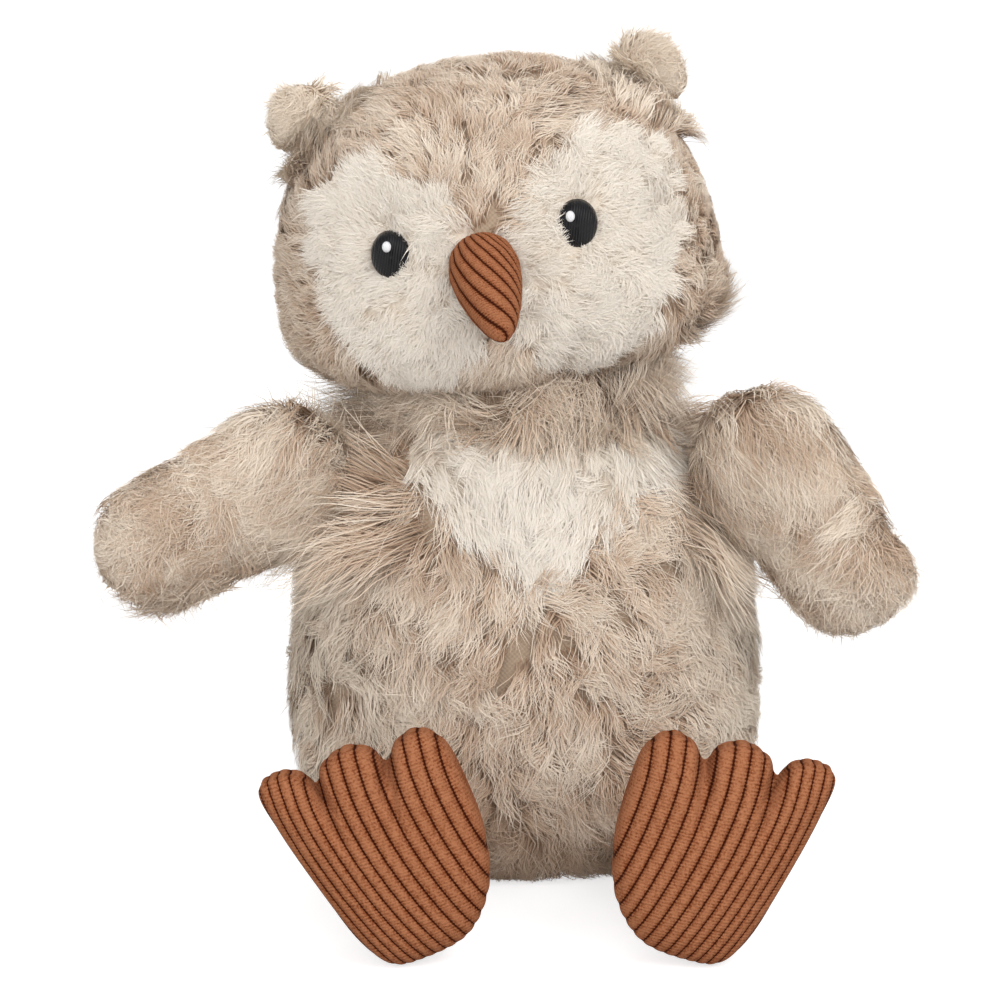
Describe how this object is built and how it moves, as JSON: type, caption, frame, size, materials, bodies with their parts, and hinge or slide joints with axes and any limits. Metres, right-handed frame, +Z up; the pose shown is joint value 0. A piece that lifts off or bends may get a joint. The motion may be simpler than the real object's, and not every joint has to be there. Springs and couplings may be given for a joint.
{
  "type": "plush owl",
  "caption": "Seated stuffed owl with a turning head, hinged wings, soft legs and corduroy feet.",
  "frame": {"origin": "middle of the flat seat, on the surface the owl sits on", "axes": "+Z up, the face looks along -Y, +X is the viewer's right when facing the owl"},
  "size_m": [0.199, 0.1605, 0.2093],
  "materials": {
    "tan_fur": "long mohair-like pile, taupe at the roots and pale at the tips",
    "cream_fur": "pale pile of the face and the bib",
    "rust_corduroy": "jumbo corduroy with soft round ribs",
    "white_fibre": "polyester stuffing",
    "bag_cotton": "plain woven cotton bag of pellets",
    "tan_thread": "sewing thread",
    "black_thread": "satin stitch embroidery with a soft gloss",
    "white_thread": "satin stitch embroidery with a soft gloss"
  },
  "bodies": {
    "torso": {"torso_skin": "tan_fur", "chest_bib": "cream_fur", "seat_panel": "tan_fur", "bean_bag": "bag_cotton", "torso_stuffing": "white_fibre", "back_seam_thread": "tan_thread"},
    "neck": {"neck_stuffing": "white_fibre"},
    "neck_gather": {"neck_thread": "tan_thread"},
    "head": {"head_skin": "tan_fur", "head_stuffing": "white_fibre", "face_panel_left": "cream_fur", "face_panel_right": "cream_fur", "eye_left": "black_thread", "eye_right": "black_thread", "eye_glint_left": "white_thread", "eye_glint_right": "white_thread", "beak_shell": "rust_corduroy", "beak_stuffing": "white_fibre"},
    "ear_left": {"ear_left_front": "tan_fur", "ear_left_back": "tan_fur"},
    "ear_right": {"ear_right_front": "tan_fur", "ear_right_back": "tan_fur"},
    "wing_left_root": {"wing_left_stitches": "tan_thread"},
    "wing_left": {"wing_left_skin": "tan_fur", "wing_left_stuffing": "white_fibre"},
    "wing_right_root": {"wing_right_stitches": "tan_thread"},
    "wing_right": {"wing_right_skin": "tan_fur", "wing_right_stuffing": "white_fibre"},
    "leg_left": {"leg_left_skin": "rust_corduroy", "leg_left_stuffing": "white_fibre"},
    "ankle_left": {"ankle_left_stitches": "tan_thread"},
    "foot_left": {"foot_left_sole": "rust_corduroy", "foot_left_back": "rust_corduroy", "foot_left_stuffing": "white_fibre"},
    "leg_right": {"leg_right_skin": "rust_corduroy", "leg_right_stuffing": "white_fibre"},
    "ankle_right": {"ankle_right_stitches": "tan_thread"},
    "foot_right": {"foot_right_sole": "rust_corduroy", "foot_right_back": "rust_corduroy", "foot_right_stuffing": "white_fibre"}
  },
  "joints": [
    {"name": "head_nod", "type": "hinge", "parent": "torso", "child": "neck", "pos_m": [0, 0.002, 0.12], "axis": [1, 0, 0], "range_deg": [-5, 6], "stiffness_Nm_per_rad": 0.3},
    {"name": "head_turn", "type": "hinge", "parent": "neck", "child": "neck_gather", "pos_m": [0, 0.002, 0.12], "axis": [0, 0, 1], "range_deg": [-20, 20], "stiffness_Nm_per_rad": 0.1},
    {"name": "head_tilt", "type": "hinge", "parent": "neck_gather", "child": "head", "pos_m": [0, 0.002, 0.12], "axis": [0, 1, 0], "range_deg": [-2.5, 12], "stiffness_Nm_per_rad": 0.3},
    {"name": "ear_left_flex", "type": "hinge", "parent": "head", "child": "ear_left", "pos_m": [-0.05378, 0.00393, 0.18539], "axis": [0.6361, -0.0322, 0.7709], "range_deg": [-25, 25], "stiffness_Nm_per_rad": 0.01},
    {"name": "ear_right_flex", "type": "hinge", "parent": "head", "child": "ear_right", "pos_m": [0.02971, 0.00025, 0.19712], "axis": [0.824, -0.0322, -0.5657], "range_deg": [-25, 25], "stiffness_Nm_per_rad": 0.01},
    {"name": "wing_left_swing", "type": "hinge", "parent": "torso", "child": "wing_left_root", "pos_m": [-0.05464, -0.02497, 0.1015], "axis": [0, 0, 1], "range_deg": [-12, 45], "stiffness_Nm_per_rad": 0.03},
    {"name": "wing_left_lift", "type": "hinge", "parent": "wing_left_root", "child": "wing_left", "pos_m": [-0.06216, -0.02771, 0.1015], "axis": [-0.342, 0.9397, 0], "range_deg": [-45, 32], "stiffness_Nm_per_rad": 0.04},
    {"name": "wing_right_swing", "type": "hinge", "parent": "torso", "child": "wing_right_root", "pos_m": [0.053, -0.02438, 0.106], "axis": [0, 0, -1], "range_deg": [-12, 45], "stiffness_Nm_per_rad": 0.03},
    {"name": "wing_right_lift", "type": "hinge", "parent": "wing_right_root", "child": "wing_right", "pos_m": [0.06052, -0.02711, 0.106], "axis": [-0.342, -0.9397, 0], "range_deg": [-18, 60], "stiffness_Nm_per_rad": 0.04},
    {"name": "leg_left_lift", "type": "hinge", "parent": "torso", "child": "leg_left", "pos_m": [-0.033, -0.0434, 0.013], "axis": [-1, 0, 0], "range_deg": [-25, 25], "stiffness_Nm_per_rad": 0.08},
    {"name": "foot_left_turn", "type": "hinge", "parent": "leg_left", "child": "ankle_left", "pos_m": [-0.029, -0.0815, 0.015], "axis": [0, 0, 1], "range_deg": [-12, 12], "stiffness_Nm_per_rad": 0.05},
    {"name": "foot_left_flex", "type": "hinge", "parent": "ankle_left", "child": "foot_left", "pos_m": [-0.029, -0.0815, 0.015], "axis": [1, 0, 0], "range_deg": [-13, 18], "stiffness_Nm_per_rad": 0.05},
    {"name": "leg_right_lift", "type": "hinge", "parent": "torso", "child": "leg_right", "pos_m": [0.033, -0.0434, 0.013], "axis": [-1, 0, 0], "range_deg": [-25, 25], "stiffness_Nm_per_rad": 0.08},
    {"name": "foot_right_turn", "type": "hinge", "parent": "leg_right", "child": "ankle_right", "pos_m": [0.0395, -0.0815, 0.015], "axis": [0, 0, 1], "range_deg": [-12, 12], "stiffness_Nm_per_rad": 0.05},
    {"name": "foot_right_flex", "type": "hinge", "parent": "ankle_right", "child": "foot_right", "pos_m": [0.0395, -0.0815, 0.015], "axis": [1, 0, 0], "range_deg": [-13, 18], "stiffness_Nm_per_rad": 0.05}
  ]
}
